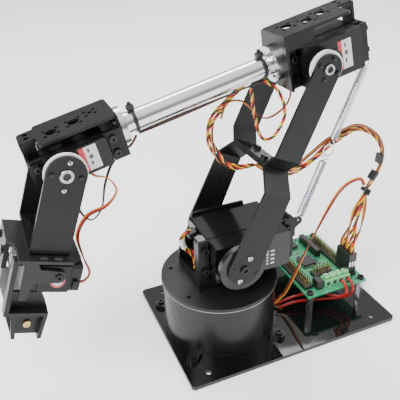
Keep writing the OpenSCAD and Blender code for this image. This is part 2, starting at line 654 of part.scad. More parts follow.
module gripper_screws() color(steel) {
    at_wrist() for (x = [-6, 6], y = [-12, 12]) translate([x, y, -hand_web + 2]) screw(5, 1.5, 2.8, 1.8);
    at_grip() {
        for (y = frame_screws) translate([-26.4, y, g_z + 6]) rotate([0, -90, 0]) screw(2.8, 1.5, 2.8, 2);
        translate([eye_x, -33, eye_z]) rotate([90, 0, 0]) screw(2.2, 1.5, 2.2, 1.2);
    }
}

// drives both racks in opposite directions
module gripper_pinion() color(white) at_grip() translate([0, 0, g_z]) difference() {
    union() {
        bar_x(pinion_r, -19.8, -17.1);
        bar_x(shaft_r, -17.2, -11);
    }
    bar_x(1.2, -21, -15);
}

// One finger, drawn for the near side with its gripping face at y = s: rack, front strip,
// shelf and channel-shaped tip.
module finger(rack_z0, s) {
    rack_end = 3;
    difference() {
        union() {
            box([-19.8, s - 9, rack_z0], [-17.1, rack_end, rack_z0 + rack_t]);
            // front strip down to the shelf
            box([strip_x, s - 9, -97], [-20, s - 2, rack_z0 + rack_t]);
            box([-20.1, s - 9, rack_z0], [-19, s - 2, rack_z0 + rack_t]);
            // shelf
            box([strip_x, s - 9, -97], [4.6, s, -94.5]);
            // gripping wall and its two edge flanges
            slab_y(s - 2.4, s) polygon([[-23, -83], [-1, -83], [2, -88], [5, -95], [3.5, -hand_len],
                [-15.5, -hand_len], [-23, -95]]);
            slab_y(s - 8, s) polygon([[-15.5, -hand_len], [-13, -hand_len], [-15.2, -97], [-18.4, -97]]);
            slab_y(s - 8, s) polygon([[1, -hand_len], [3.5, -hand_len], [4.9, -97], [2.3, -97]]);
        }
        translate([-6, 0, -hand_len + 8]) bar_y(1.6, s - 10, s + 2);
    }
}
// the two racks pass above and below the pinion
module finger_near() color([0.22, 0.22, 0.23]) at_grip() finger(g_z + pinion_r + 0.3, grip_y - grip_half);
module finger_far() color(light_grey) at_grip() mirror([0, 1, 0])
    finger(g_z - pinion_r - 0.3 - rack_t, -grip_y - grip_half);

// ------------------------------------------------------------ springs
spring_r = 2.8;
wire_r = 0.45;
spring_y = -12.5;
top_hook = [elbow_x + 44 * cos(drop) + 15.5 * sin(drop), elbow_z + 44 * sin(drop) - 15.5 * cos(drop)];
low_hook = [62, 86];
hook_dx = top_hook[0] - low_hook[0];
hook_dz = top_hook[1] - low_hook[1];
hook_len = sqrt(hook_dx * hook_dx + hook_dz * hook_dz);
hook_lean = atan2(hook_dx, hook_dz);

// swept tube of n sides and radius r through the points p
function unit(v) = v / norm(v);
function heading(p, i) = i == 0 ? unit(p[1] - p[0])
    : i == len(p) - 1 ? unit(p[i] - p[i - 1]) : unit(p[i + 1] - p[i - 1]);
function carry(u, t) = unit(u - t * (u * t));
function frames(p, i = 0, u = [0.31, 0.87, 0.39]) = i >= len(p) ? []
    : let (t = heading(p, i), v = carry(u, t)) concat([[v, cross(t, v)]], frames(p, i + 1, v));
module swept(p, r, n = 8) {
    f = frames(p);
    m = len(p);
    pts = [for (i = [0:m - 1], k = [0:n - 1])
        p[i] + r * (cos(k * 360 / n) * f[i][0] + sin(k * 360 / n) * f[i][1])];
    sides = [for (i = [0:m - 2], k = [0:n - 1], h = [0, 1]) h == 0
        ? [i * n + k, (i + 1) * n + k, (i + 1) * n + (k + 1) % n]
        : [i * n + k, (i + 1) * n + (k + 1) % n, i * n + (k + 1) % n]];
    polyhedron(pts, concat([[for (k = [0:n - 1]) k]], sides, [[for (k = [n - 1:-1:0]) (m - 1) * n + k]]));
}
// smooth curve through a short list of points
function spline(p, i, t) = let (a = p[max(i - 1, 0)], b = p[i], c = p[i + 1], d = p[min(i + 2, len(p) - 1)])
    0.5 * ((2 * b) + (c - a) * t + (2 * a - 5 * b + 4 * c - d) * t * t
    + (3 * b - a - 3 * c + d) * t * t * t);
function curve(p, n) = concat([for (i = [0:len(p) - 2], k = [0:n - 1]) spline(p, i, k / n)], [p[len(p) - 1]]);

module coil(turns, l) swept(concat(
    [[0, 0, 0], [0, 0, 2], [0, spring_r * 0.6, 3.4]],
    [for (i = [0:turns * 8]) [spring_r * sin(i * 45), spring_r * cos(i * 45), 4.5 + (l - 9) * i / (turns * 8)]],
    [[0, spring_r * 0.6, l - 3.4], [0, 0, l - 2], [0, 0, l]]), wire_r, 5);
module at_springs() translate([low_hook[0], spring_y, low_hook[1]]) rotate([0, hook_lean, 0]) children();
module spring_lower() color(steel) at_springs() translate([0, 0, 3.5]) coil(20, hook_len * 0.46 - 8.8);
module spring_upper() color(steel) at_springs() translate([0, 0, hook_len * 0.46 + 5.3])
    coil(24, hook_len * 0.54 - 5.8);
module spring_ring() color(steel) at_springs() translate([0, 0, hook_len * 0.46]) rotate([90, 0, 0])
    rotate_extrude() translate([4.6, 0]) circle(0.5, $fn = 24);

// ------------------------------------------------------------ leads
lead_r = 1.3;
// wrist servo to the lead under the tube, and gripper servo to the wrist servo's underside
wrist_path = [[-96.8, -2, 161.1], [-102, -2, 145], [-100, -1, 130], [-93, 0, 121], [-85, 1, 128],
    [-81, 2, 144], [-75, 2, 158], [-66.8, 0, 167.1], [-61.3, 0, 169.9], [-57, 0, 176]];
gripper_path = [[-110.7, -24, 92.4], [-107, -23.6, 91.8], [-102.5, -22, 96], [-105, -20, 108],
    [-106, -16, 122], [-97, -10, 131], [-83, -6, 133], [-75, -4, 141], [-79, -2, 150], [-88, 0, 154],
    [-91, 0, 161]];
// along the underside of the tube
tube_path = [[-125.5, 0, tube_z - 9.5], [-28, 0, tube_z - 9.5]];
// loops under the elbow
loop_path = [[35, -2, 199], [46, -4, 190], [51, -5, 172], [42, -6, 158], [32, -6, 159], [26, -6, 178],
    [24.4, -4, 196]];
thin_path = [[61.6, 6, 193.2], [60, 4, 180], [50, 2, 172], [36, 0, 171], [20, -1, 186], [8, -1, 187],
    [3.5, 0, 176]];
elbow_path = [[24, 5, 196.5], [4, 5, 180], [-4, 4, 166], [0, 2, 150], [11, 0, 138], [30, 0, 135.2]];
upper_path = [[31.4, 0, 134.9], [46, -2, 127], [60, -4, 125], [75, -7, 135], [92, -9, 147],
    [112, -10, 153], [132, -10, 140], [138, -10, 120], [127, -10, 97.5]];
board_path = [[126, -10, 94], [121, -10, 78], [114.5, -12, 60], [111.8, -13, 46.4]];
base_path = [[43, -10, 8.3], [50, -10, 12.6], [58, -10, 21], [78, -10, 62], [100, -10, 100], [118, -10, 108],
    [124.5, -10, 101]];
shoulder_path = [[-16.4, 7, 84], [-21, 7, 88], [-27, 6, 84], [-26, 5, 76], [-19.5, 4, 68],
    [-18.3, 3.5, 58], [-18, 4, 47]];
module lead_wrist() color([0.35, 0.2, 0.1]) swept(curve(wrist_path, 2), 1.0);
module lead_tube() color(black) at_elbow() swept(tube_path, 1.2);
module lead_loops() color([0.9, 0.7, 0.2]) {
    swept(curve(loop_path, 2), lead_r);
    swept(curve(thin_path, 2), 0.8);
}
module lead_gripper() color([0.6, 0.3, 0.1]) swept(curve(gripper_path, 1), lead_r);
module lead_elbow() color([0.9, 0.7, 0.2]) swept(curve(elbow_path, 2), 1.9);
module lead_upper() color([0.9, 0.7, 0.2]) swept(curve(upper_path, 2), 1.9);
module lead_board() color([0.9, 0.7, 0.2]) swept(curve(board_path, 2), 3);
module lead_base() color([0.9, 0.6, 0.2]) swept(curve(base_path, 2), lead_r);
module lead_shoulder() color([0.9, 0.7, 0.2]) swept(curve(shoulder_path, 2), 2);
// from the terminal block over the board's edge and under it to the can
power_paths = [for (k = [0, 1]) [[104 - 6 * k, -26.5, 26.8], [104 - 6 * k, -31, 26.5],
    [103.5 - 6 * k, -34.5, 20], [100 - 5 * k, -30, 12 + 2 * k], [80, -21 + 4 * k, 9 + 4 * k],
    [62, -16 + 3 * k, 9 + 3 * k], [47, -13 + 4.5 * k, 5.2]]];
module power_leads() color([0.75, 0.1, 0.1]) for (p = power_paths) swept(curve(p, 2), 1.5);

base_plate();
base_can();
can_screws();
base_servo();
board();
board_standoffs();
board_screws();
board_headers();
board_terminal();
board_chips();
board_plugs();
power_leads();
turntable_disc();
turntable_horn();
turntable_screws();
shoulder_bracket();
shoulder_servo();
shoulder_servo_screws();
spring_anchor();
shoulder_horn();
shoulder_idler();
lower_bracket();
upper_bracket();
web_screws();
elbow_horn();
elbow_idler();
arm_hub_screws();
elbow_bracket();
elbow_servo();
forearm_servo_screws();
tube_hubs();
forearm_tube();
hub_screws();
wrist_bracket();
wrist_servo();
tube_ties();
wrist_horn();
wrist_idler();
hand_bracket();
wrist_hub_screws();
gripper_plate();
gripper_frame();
gripper_servo();
gripper_screws();
gripper_pinion();
finger_near();
finger_far();
spring_upper();
spring_lower();
spring_ring();
lead_wrist();
lead_gripper();
lead_tube();
lead_loops();
lead_elbow();
lead_upper();
lead_board();
lead_base();
lead_shoulder();
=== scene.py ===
"""Looks for the desk-top servo robot arm: camera, leads, springs, fine pieces, materials, light."""
import math

import bmesh
import bpy
from mathutils import Matrix, Vector


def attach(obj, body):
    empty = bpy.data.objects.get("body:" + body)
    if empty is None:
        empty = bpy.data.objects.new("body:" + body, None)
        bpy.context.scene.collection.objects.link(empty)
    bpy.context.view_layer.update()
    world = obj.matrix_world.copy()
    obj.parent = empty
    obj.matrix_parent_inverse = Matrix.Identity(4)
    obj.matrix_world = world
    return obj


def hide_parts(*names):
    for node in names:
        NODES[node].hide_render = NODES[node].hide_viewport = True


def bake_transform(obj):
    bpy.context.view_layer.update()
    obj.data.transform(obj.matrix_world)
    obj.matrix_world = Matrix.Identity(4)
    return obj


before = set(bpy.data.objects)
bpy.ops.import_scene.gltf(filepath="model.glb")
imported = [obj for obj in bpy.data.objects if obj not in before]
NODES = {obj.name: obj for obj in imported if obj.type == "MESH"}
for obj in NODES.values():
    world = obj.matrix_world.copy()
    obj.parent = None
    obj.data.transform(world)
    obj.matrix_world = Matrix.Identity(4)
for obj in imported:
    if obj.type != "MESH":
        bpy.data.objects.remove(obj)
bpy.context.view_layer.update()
COLLECTION = bpy.context.scene.collection

# ---------------------------------------------------------------- camera
CAM_AT = Vector((-0.14532, -0.31743, 0.31434))
CAM_AZ, CAM_EL, CAM_ROLL = (math.radians(v) for v in (-20.63, 25.68, -2.61))
LENS, SENSOR = 49.25, 36
SHIFT = (0.0434, -0.1002)
NEAREST, FURTHEST = 0.01, 30
back = Vector((math.sin(CAM_AZ) * math.cos(CAM_EL),
               -math.cos(CAM_AZ) * math.cos(CAM_EL),
               math.sin(CAM_EL)))
level = (-back).cross(Vector((0, 0, 1))).normalized()
upright = level.cross(-back)
right = math.cos(CAM_ROLL) * level + math.sin(CAM_ROLL) * upright
up = -math.sin(CAM_ROLL) * level + math.cos(CAM_ROLL) * upright
camera = bpy.data.objects.new("camera", bpy.data.cameras.new("camera"))
COLLECTION.objects.link(camera)
camera.matrix_world = Matrix((
    (right.x, up.x, back.x, CAM_AT.x),
    (right.y, up.y, back.y, CAM_AT.y),
    (right.z, up.z, back.z, CAM_AT.z),
    (0, 0, 0, 1)))
camera.data.sensor_width = SENSOR
camera.data.lens = LENS
camera.data.shift_x, camera.data.shift_y = SHIFT
camera.data.clip_start, camera.data.clip_end = NEAREST, FURTHEST
bpy.context.scene.camera = camera

# ---------------------------------------------------------------- frames of the arm, in mm
SHOULDER = Vector((3, 0, 75))
LEAN, DROP, TILT = math.radians(25), math.radians(13), math.radians(19)
UPPER, FORE = 149, 179
ELBOW = SHOULDER + UPPER * Vector((math.sin(LEAN), 0, math.cos(LEAN)))
WRIST = ELBOW - FORE * Vector((math.cos(DROP), 0, math.sin(DROP)))


def turned(origin, angle):
    """Matrix, in mm, of a frame turned by angle about +Y, with its origin there."""
    return Matrix.Translation(origin) @ Matrix.Rotation(angle, 4, "Y")


AT_SHOULDER = turned(SHOULDER, LEAN)
AT_ELBOW = turned(ELBOW, -DROP)
AT_WRIST = turned(WRIST, TILT)
AT_WRIST_UNIT = AT_ELBOW @ Matrix.Translation((-FORE, 0, 0))
AT_GRIP = AT_WRIST @ Matrix.Translation((2, 0, -68))       # the gripper servo's shaft


# ---------------------------------------------------------------- materials
def new_material(name):
    m = bpy.data.materials.new(name)
    m.use_nodes = True
    nt = m.node_tree
    return m, nt, nt.nodes["Principled BSDF"]


def coords(nt, stretch=(1, 1, 1)):
    tex = nt.nodes.new("ShaderNodeTexCoord")
    mapping = nt.nodes.new("ShaderNodeMapping")
    mapping.inputs["Scale"].default_value = stretch
    nt.links.new(tex.outputs["Object"], mapping.inputs["Vector"])
    return mapping.outputs["Vector"]


def noise(nt, vector, scale, detail=3.0, rough=0.5):
    n = nt.nodes.new("ShaderNodeTexNoise")
    n.inputs["Scale"].default_value = scale
    n.inputs["Detail"].default_value = detail
    n.inputs["Roughness"].default_value = rough
    nt.links.new(vector, n.inputs["Vector"])
    return n.outputs["Fac"]


def ramp(nt, fac, stops):
    r = nt.nodes.new("ShaderNodeValToRGB")
    elements = r.color_ramp.elements
    while len(elements) < len(stops):
        elements.new(0.5)
    for e, (at, colour) in zip(elements, stops):
        e.position = at
        e.color = (*colour, 1)
    nt.links.new(fac, r.inputs["Fac"])
    return r.outputs["Color"]


def spread(nt, fac, low, high, at_low=0.3, at_high=0.7):
    r = nt.nodes.new("ShaderNodeMapRange")
    r.inputs["From Min"].default_value = at_low
    r.inputs["From Max"].default_value = at_high
    r.inputs["To Min"].default_value = low
    r.inputs["To Max"].default_value = high
    nt.links.new(fac, r.inputs["Value"])
    return r.outputs["Result"]


def scaled(colour, k):
    return tuple(min(1, c * k) for c in colour)


def surface(name, colour, rough, metal=0.0, vary=0.12, rough_vary=0.06, patch=45, grain=2600,
            bump=0.1, depth=0.00004, stretch=(1, 1, 1), ior=1.5, dust=0.0):
    """Painted, moulded, anodised or bare surface: slow colour and gloss changes, fine grain in the bump."""
    m, nt, bsdf = new_material(name)
    where = coords(nt, stretch)
    slow = noise(nt, where, patch, 4, 0.55)
    base = ramp(nt, slow, [(0.3, scaled(colour, 1 - vary)), (0.7, scaled(colour, 1 + vary))])
    if dust:
        specks = noise(nt, where, 900, 2, 0.7)
        mix = nt.nodes.new("ShaderNodeMixRGB")
        nt.links.new(spread(nt, specks, 0, dust, 0.62, 0.8), mix.inputs["Fac"])
        nt.links.new(base, mix.inputs["Color1"])
        mix.inputs["Color2"].default_value = (0.35, 0.34, 0.33, 1)
        base = mix.outputs["Color"]
    nt.links.new(base, bsdf.inputs["Base Color"])
    fine = noise(nt, where, grain, 3, 0.6)
    nt.links.new(spread(nt, noise(nt, where, patch * 3.1, 3), rough - rough_vary, rough + rough_vary),
                 bsdf.inputs["Roughness"])
    b = nt.nodes.new("ShaderNodeBump")
    b.inputs["Strength"].default_value = bump
    b.inputs["Distance"].default_value = depth
    nt.links.new(fine, b.inputs["Height"])
    nt.links.new(b.outputs["Normal"], bsdf.inputs["Normal"])
    bsdf.inputs["Metallic"].default_value = metal
    bsdf.inputs["IOR"].default_value = ior
    return m


M = {
    "plate": surface("gloss_black_acrylic", (0.0035, 0.0035, 0.004), 0.05, vary=0.2, rough_vary=0.02,
                     bump=0.02, grain=900, depth=0.00001, dust=0.08),
    "can": surface("satin_black_can", (0.007, 0.007, 0.0075), 0.28, ior=1.42, vary=0.15, rough_vary=0.05,
                   patch=20, grain=4200, bump=0.18),
    "disc": surface("satin_disc", (0.009, 0.009, 0.0095), 0.34, ior=1.4, vary=0.1, rough_vary=0.04, patch=18,
                    grain=3600, bump=0.2),
    "anodised": surface("black_anodised", (0.008, 0.008, 0.0085), 0.30, vary=0.15, rough_vary=0.05,
                        patch=60, grain=5200, bump=0.22, ior=1.33, dust=0.01),
    "case": surface("servo_case_plastic", (0.006, 0.006, 0.0065), 0.30, ior=1.38, vary=0.15,
                    rough_vary=0.07, patch=70, grain=3000, bump=0.3, depth=0.00005),
    "gloss_case": surface("glossy_servo_case", (0.006, 0.006, 0.0065), 0.14, vary=0.15,
                          rough_vary=0.04, patch=60, grain=2200, bump=0.08),
    "dull_steel": surface("dull_screw", (0.36, 0.36, 0.37), 0.26, metal=1, vary=0.15, rough_vary=0.08,
                          patch=300, grain=2600, bump=0.12),
    "horn_black": surface("black_horn_plastic", (0.007, 0.007, 0.007), 0.30, vary=0.1, patch=60, bump=0.12),
    "white": surface("white_nylon", (0.78, 0.78, 0.76), 0.35, vary=0.04, patch=80, grain=1800, bump=0.08),
    "tube": surface("polished_tube", (0.80, 0.81, 0.83), 0.22, metal=1, vary=0.03, rough_vary=0.03, patch=40,
                    grain=2200, bump=0.05, stretch=(0.06, 1, 1)),
    "hub": surface("turned_aluminium", (0.62, 0.63, 0.65), 0.26, metal=1, vary=0.05, rough_vary=0.05,
                   patch=120, grain=3000, bump=0.12, stretch=(3, 1, 1)),
    "steel": surface("bright_screw", (0.52, 0.52, 0.54), 0.20, metal=1, vary=0.12, rough_vary=0.08,
                     patch=300, grain=2600, bump=0.1),
    "black_steel": surface("black_screw", (0.030, 0.030, 0.032), 0.28, metal=0.8, vary=0.2, rough_vary=0.08,
                           patch=300, grain=2600, bump=0.12),
    "spring": surface("spring_wire", (0.72, 0.74, 0.78), 0.16, metal=1, vary=0.08, rough_vary=0.05,
                      patch=200, bump=0.05),
    "grey": surface("grey_anodised", (0.022, 0.022, 0.024), 0.38, metal=0.4, vary=0.15, rough_vary=0.06,
                    patch=60, grain=4200, bump=0.2),
    "finger": surface("moulded_finger", (0.010, 0.010, 0.011), 0.38, ior=1.4, vary=0.15,
                      rough_vary=0.07, patch=60, grain=3200, bump=0.3),
    "finger_dark": surface("gripper_frame_black", (0.012, 0.012, 0.013), 0.36, ior=1.4, vary=0.15,
                           patch=60, grain=4200, bump=0.2),
    "finger_grey": surface("grey_finger", (0.13, 0.13, 0.135), 0.38, metal=0.2, vary=0.12, patch=60,
                           grain=3200, bump=0.2),
    "black_plastic": surface("connector_black", (0.010, 0.010, 0.010), 0.42, vary=0.15, patch=200,
                             grain=3000, bump=0.2),
    "pin": surface("gold_pin", (0.62, 0.45, 0.20), 0.25, metal=1, vary=0.15, patch=400, bump=0.05),
    "brass": surface("brass_screw", (0.55, 0.40, 0.16), 0.28, metal=1, vary=0.12, patch=300, bump=0.08),
    "terminal": surface("terminal_green", (0.16, 0.52, 0.22), 0.35, vary=0.08, patch=120, bump=0.12),
    "solder": surface("solder_tin", (0.66, 0.67, 0.68), 0.25, metal=1, vary=0.1, patch=300, bump=0.2),
    "chip": surface("chip_epoxy", (0.018, 0.018, 0.020), 0.48, vary=0.1, patch=200, grain=2400, bump=0.3),
    "label_white": surface("label_white", (0.62, 0.62, 0.62), 0.35, vary=0.03, patch=90, bump=0.03),
    "label_red": surface("label_red", (0.55, 0.035, 0.05), 0.33, vary=0.05, patch=90, bump=0.03),
    "label_grey": surface("label_grey", (0.05, 0.05, 0.055), 0.35, vary=0.05, patch=90, bump=0.03),
    "lead_yellow": surface("lead_yellow", (0.80, 0.50, 0.02), 0.36, vary=0.08, patch=120, bump=0.05),
    "lead_orange": surface("lead_orange", (0.72, 0.20, 0.015), 0.36, vary=0.08, patch=120, bump=0.05),
    "lead_red": surface("lead_red", (0.55, 0.015, 0.012), 0.34, vary=0.08, patch=120, bump=0.05),
    "lead_black": surface("lead_black", (0.012, 0.012, 0.012), 0.36, vary=0.1, patch=120, bump=0.05),
    "lead_brown": surface("lead_brown", (0.10, 0.028, 0.012), 0.36, vary=0.1, patch=120, bump=0.05),
    "power_red": surface("power_red", (0.36, 0.008, 0.006), 0.30, vary=0.06, patch=100, bump=0.05),
    "sleeve": surface("white_sleeve", (0.70, 0.69, 0.66), 0.40, vary=0.05, patch=120, bump=0.05),
    # painted highlight: this lighter metal is used only for the disc's rim, where its edge catches the light
    "edge": surface("edge_painted_highlight", (0.30, 0.30, 0.31), 0.22, metal=0.8, vary=0.1, patch=200, bump=0.05),
}


def board_material():
    """Green solder mask: copper tracks show as slightly lighter lines, with pads and white print marks."""
    m, nt, bsdf = new_material("green_circuit_board")
    where = coords(nt)
    cells = nt.nodes.new("ShaderNodeTexBrick")
    cells.inputs["Scale"].default_value = 130
    cells.inputs["Mortar Size"].default_value = 0.035
    cells.inputs["Color1"].default_value = (0.010, 0.17, 0.075, 1)
    cells.inputs["Color2"].default_value = (0.014, 0.22, 0.095, 1)
    cells.inputs["Mortar"].default_value = (0.07, 0.42, 0.20, 1)
    nt.links.new(where, cells.inputs["Vector"])
    dots = nt.nodes.new("ShaderNodeTexVoronoi")
    dots.inputs["Scale"].default_value = 260
    nt.links.new(where, dots.inputs["Vector"])
    mix = nt.nodes.new("ShaderNodeMixRGB")
    nt.links.new(spread(nt, dots.outputs["Distance"], 0.85, 0, 0.10, 0.16), mix.inputs["Fac"])
    nt.links.new(cells.outputs["Color"], mix.inputs["Color1"])
    mix.inputs["Color2"].default_value = (0.42, 0.62, 0.45, 1)
    nt.links.new(mix.outputs["Color"], bsdf.inputs["Base Color"])
    b = nt.nodes.new("ShaderNodeBump")
    b.inputs["Strength"].default_value = 0.25
    b.inputs["Distance"].default_value = 0.00005
    nt.links.new(cells.outputs["Fac"], b.inputs["Height"])
    nt.links.new(b.outputs["Normal"], bsdf.inputs["Normal"])
    bsdf.inputs["Roughness"].default_value = 0.22
    bsdf.inputs["Coat Weight"].default_value = 0.3
    return m


M["board"] = board_material()


# ---------------------------------------------------------------- mesh helpers, all in mm
MM = 0.001
SHARP = 0.65            # radians; an edge bent by more than this is drawn sharp
WIRE_SIDES = 8
CURVE_STEPS = 12        # points between two of a path's own points


class Build:
    """Collects solids in mm, each with a material, and makes them one object."""

    def __init__(self):
        self.verts, self.faces, self.mats, self.smooth = [], [], [], []

    def add(self, verts, faces, mat, matrix=None, smooth=False):
        n = len(self.verts)
        self.verts += [(matrix @ Vector(v)) if matrix else Vector(v) for v in verts]
        for f in faces:
            self.faces.append([n + i for i in f])
            self.mats.append(mat)
            self.smooth.append(smooth)

    def box(self, lo, hi, mat, matrix=None, chamfer=0.0):
        """Box with its upright edges and its rims cut by chamfer."""
        (x0, y0, z0), (x1, y1, z1) = lo, hi
        c = max(min(chamfer, (x1 - x0) / 2.5, (y1 - y0) / 2.5, (z1 - z0) / 2.5), 1e-4)
        levels = [(z0, c), (z0 + c, 0), (z1 - c, 0), (z1, c)]
        verts = []
        for z, a in levels:
            for px, py, sx, sy in ((x0, y0, 1, 1), (x1, y0, -1, 1), (x1, y1, -1, -1), (x0, y1, 1, -1)):
                first, second = ((px + sx * a, py + sy * (a + c)), (px + sx * (a + c), py + sy * a))
                pair = (first, second) if (sx > 0) == (sy > 0) else (second, first)
                verts += [(x, y, z) for x, y in pair]
        faces = [list(range(7, -1, -1)), list(range(24, 32))]
        for k in range(3):
            for i in range(8):
                j = (i + 1) % 8
                faces.append([8 * k + i, 8 * k + j, 8 * k + 8 + j, 8 * k + 8 + i])
        self.add(verts, faces, mat, matrix)

    def lathe(self, profile, mat, matrix=None, n=32, smooth=True, closed=False):
        """Profile of (radius, z) turned about Z; radius 0 at an end closes it."""
        verts, rings = [], []
        for r, z in profile:
            if r < 1e-6:
                rings.append([len(verts)])
                verts.append((0, 0, z))
            else:
                rings.append(list(range(len(verts), len(verts) + n)))
                verts += [(r * math.cos(2 * math.pi * i / n), r * math.sin(2 * math.pi * i / n), z)
                          for i in range(n)]
        pairs = list(zip(rings, rings[1:])) + ([(rings[-1], rings[0])] if closed else [])
        faces = []
        for a, b in pairs:
            for i in range(n):
                j = (i + 1) % n
                if len(a) == 1 and len(b) > 1:
                    faces.append([a[0], b[j], b[i]])
                elif len(b) == 1 and len(a) > 1:
                    faces.append([a[i], a[j], b[0]])
                elif len(a) > 1:
                    faces.append([a[i], a[j], b[j], b[i]])
        self.add(verts, faces, mat, matrix, smooth)

    def tube(self, points, radius, mat, n=WIRE_SIDES):
        """Swept tube through points."""
        frames = carried(points)
        verts = []
        for p, u, v in frames:
            verts += [p + radius * (math.cos(2 * math.pi * k / n) * u + math.sin(2 * math.pi * k / n) * v)
                      for k in range(n)]
        faces = [list(range(n))[::-1], [len(verts) - n + k for k in range(n)]]
        for i in range(len(points) - 1):
            for k in range(n):
                j = (k + 1) % n
                faces.append([i * n + k, i * n + j, (i + 1) * n + j, (i + 1) * n + k])
        self.add(verts, faces, mat, smooth=True)

    def object(self, name):
        mesh = bpy.data.meshes.new(name)
        mesh.from_pydata([v * MM for v in self.verts], [], self.faces)
        names = list(dict.fromkeys(self.mats))
        for key in names:
            mesh.materials.append(M[key])
        for poly, key, smooth in zip(mesh.polygons, self.mats, self.smooth):
            poly.material_index = names.index(key)
            poly.use_smooth = smooth
        bm = bmesh.new()
        bm.from_mesh(mesh)
        bmesh.ops.recalc_face_normals(bm, faces=bm.faces)
        for e in bm.edges:
            if len(e.link_faces) == 2 and e.calc_face_angle(0) > SHARP:
                e.smooth = False
        bm.to_mesh(mesh)
        bm.free()
        o = bpy.data.objects.new(name, mesh)
        COLLECTION.objects.link(o)
        return o


def carried(points):
    """Each point with two directions across the line there, carried along without twist."""
    u = Vector((0.31, 0.87, 0.39))
    last = len(points) - 1
    for i, p in enumerate(points):
        t = (points[min(i + 1, last)] - points[max(i - 1, 0)]).normalized()
        u = (u - t * u.dot(t)).normalized()
        yield p, u, t.cross(u)


def curve(points, n):
    """The same smooth curve as the part's source draws through its points."""
    p = [Vector(q) for q in points]
    out = []
    for i in range(len(p) - 1):
        a, b, c, d = p[max(i - 1, 0)], p[i], p[i + 1], p[min(i + 2, len(p) - 1)]
        for k in range(n):
            t = k / n
            out.append(0.5 * (2 * b + (c - a) * t + (2 * a - 5 * b + 4 * c - d) * t ** 2
                              + (3 * b - a - 3 * c + d) * t ** 3))
    return out + [p[-1]]


def even(points, step):
    """The line again with points about step apart."""
    lengths = [0.0]
    for a, b in zip(points, points[1:]):
        lengths.append(lengths[-1] + (b - a).length)
    count = max(2, math.ceil(lengths[-1] / step) + 1)
    out, k = [], 0
    for i in range(count):
        at = lengths[-1] * i / (count - 1)
        while k < len(points) - 2 and lengths[k + 1] < at:
            k += 1
        share = (at - lengths[k]) / max(lengths[k + 1] - lengths[k], 1e-9)
        out.append(points[k].lerp(points[k + 1], min(max(share, 0), 1)))
    return out


def put(o, body, *replaced, slot=None):
    """Rides the piece on its body, in place of its CAD nodes if any are named."""
    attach(o, body)
    if replaced:
        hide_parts(*replaced)
    return o


# ---------------------------------------------------------------- leads
TWISTED = ("lead_yellow", "lead_red", "lead_black")
RIBBON = ("lead_orange", "lead_red", "lead_brown")
LEAD_STEP = 1.1         # mm between the points of a lead


def strands(build, line, colours, radius, away, pitch, phase=0.0, offset=None):
    """Wires of one lead, twisted round a middle line that offset moves away from line."""
    last = len(line) - 1
    middle = [p + (offset(i / last, u, v) if offset else Vector()) for i, (p, u, v) in enumerate(carried(line))]
    frames = list(carried(middle))
    along = [0.0]
    for a, b in zip(middle, middle[1:]):
        along.append(along[-1] + (b - a).length)
    for k, colour in enumerate(colours):
        path = []
        for (p, u, v), s in zip(frames, along):
            a = phase + 2 * math.pi * (k / len(colours) + s / pitch)
            path.append(p + away * (math.cos(a) * u + math.sin(a) * v))
        build.tube(path, radius, colour)


def ribbon(build, line, colours, radius, phase=0.0, turns=0.0, offset=None):
    """Flat lead: its wires side by side, the whole ribbon turning slowly."""
    frames = list(carried(line))
    last = len(line) - 1
    for k, colour in enumerate(colours):
        path = []
        for i, (p, u, v) in enumerate(frames):
            a = phase + 2 * math.pi * turns * i / last
            side = (k - (len(colours) - 1) / 2) * 1.9 * radius
            shift = offset(i / last, u, v) if offset else Vector()
            path.append(p + shift + side * (math.cos(a) * u + math.sin(a) * v))
        build.tube(path, radius, colour)


def wander(size, phase, waves=1.5):
    """Slow sideways drift of one lead in a bundle, none at the ends."""
    def at(t, u, v):
        k = size * (math.sin(math.pi * t) ** 0.5 if 0 < t < 1 else 0)
        a = phase + 2 * math.pi * waves * t
        return k * (math.cos(a) * u + math.sin(a) * v)
    return at


def declare(o, body, nodes, blend=None):
    """A lead with both ends on the object: rides on its body, or with blend is baked in place, and stands for
    its CAD tube.
    """
    if blend:
        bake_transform(o)
    else:
        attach(o, body)
    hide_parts(*nodes)
    return o


WRIST_PATH = [(-96.8, -2, 161.1), (-102, -2, 145), (-100, -1, 130), (-93, 0, 121), (-85, 1, 128),
              (-81, 2, 144), (-75, 2, 158), (-66.8, 0, 167.1), (-61.3, 0, 169.9), (-57, 0, 176)]
GRIPPER_PATH = [(-110.7, -24, 92.4), (-107, -23.6, 91.8), (-102.5, -22, 96), (-105, -20, 108),
                (-106, -16, 122), (-97, -10, 131), (-83, -6, 133), (-75, -4, 141), (-79, -2, 150),
                (-88, 0, 154), (-91, 0, 161)]
LOOP_PATH = [(35, -2, 199), (46, -4, 190), (51, -5, 172), (42, -6, 158), (32, -6, 159), (26, -6, 178),
             (24.4, -4, 196)]
THIN_PATH = [(61.6, 6, 193.2), (60, 4, 180), (50, 2, 172), (36, 0, 171), (20, -1, 186), (8, -1, 187),
             (3.5, 0, 176)]
ELBOW_PATH = [(24, 5, 196.5), (4, 5, 180), (-4, 4, 166), (0, 2, 150), (11, 0, 138), (30, 0, 135.2)]
UPPER_PATH = [(31.4, 0, 134.9), (46, -2, 127), (60, -4, 125), (75, -7, 135), (92, -9, 147),
              (112, -10, 153), (132, -10, 140), (138, -10, 120), (127, -10, 97.5)]
BASE_PATH = [(43, -10, 8.3), (50, -10, 12.6), (58, -10, 21), (78, -10, 62), (100, -10, 100),
             (118, -10, 108), (124.5, -10, 101)]
SHOULDER_PATH = [(-16.4, 7, 84), (-21, 7, 88), (-27, 6, 84), (-26, 5, 76), (-19.5, 4, 68),
                 (-18.3, 3.5, 58), (-18, 4, 47)]
# the row of plugs on the board
PLUG_X = 111.5
PLUG_Y = [-20.5 + 2.9 * k for k in range(6)]
PLUG_TOP = 45.1


